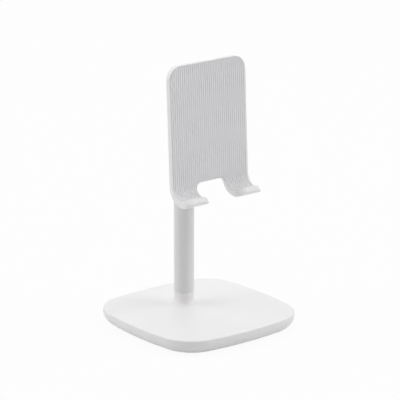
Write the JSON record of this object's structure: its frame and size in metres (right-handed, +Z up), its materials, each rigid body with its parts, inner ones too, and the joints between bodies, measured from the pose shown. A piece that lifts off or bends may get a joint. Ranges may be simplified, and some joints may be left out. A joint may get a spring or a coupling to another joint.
{
  "type": "phone stand",
  "caption": "Free-standing desk phone stand: weighted rounded-square base, telescopic column and a tilting ribbed cradle plate with curled hooks and a cable notch.",
  "frame": {"origin": "on the table plane, under the middle of the base", "axes": "+Z up; the cradle faces -Y; +X to the right for a person facing the cradle"},
  "size_m": [0.105, 0.105, 0.1747],
  "materials": {
    "white_shell": "white moulded plastic with a fine satin grain",
    "white_enamel": "die-cast metal, white satin paint",
    "under_plastic": "light grey moulded plastic",
    "bush_plastic": "off-white bearing plastic",
    "column_grey": "light grey satin coat on aluminium tube",
    "bright_alloy": "satin anodised aluminium",
    "screw_steel": "zinc-plated steel",
    "weight_iron": "bare plate steel",
    "ring_rubber": "black rubber",
    "foot_silicone": "light grey matt silicone",
    "pad_silicone": "white matt silicone with moulded ribs"
  },
  "bodies": {
    "base": {"base_cover": "white_shell", "counterweight": "weight_iron", "base_plate": "under_plastic", "foot_pad": "foot_silicone", "base_screws": "screw_steel", "tube_plug": "bright_alloy", "column_screw": "screw_steel", "column_washer": "screw_steel", "outer_tube": "column_grey", "guide_bush": "bush_plastic"},
    "mast": {"inner_tube": "bright_alloy", "slide_foot": "bush_plastic", "friction_rings": "ring_rubber", "retaining_pins": "screw_steel", "hinge_knuckle": "white_enamel"},
    "cradle": {"hinge_bracket": "white_shell", "bracket_screws": "screw_steel", "hinge_bolt": "screw_steel", "hinge_nut": "screw_steel", "friction_washers": "bush_plastic", "disc_springs": "screw_steel", "hinge_cap_left": "white_shell", "hinge_cap_right": "white_shell", "cradle_plate": "white_shell", "grip_pad": "pad_silicone"}
  },
  "joints": [
    {"name": "height_slide", "type": "slide", "parent": "base", "child": "mast", "axis": [0, 0, 1], "range_m": [0, 0.05]},
    {"name": "cradle_tilt", "type": "hinge", "parent": "mast", "child": "cradle", "pos_m": [0, 0.0149, 0.127], "axis": [-1, 0, 0], "range_deg": [-12, 80]}
  ]
}
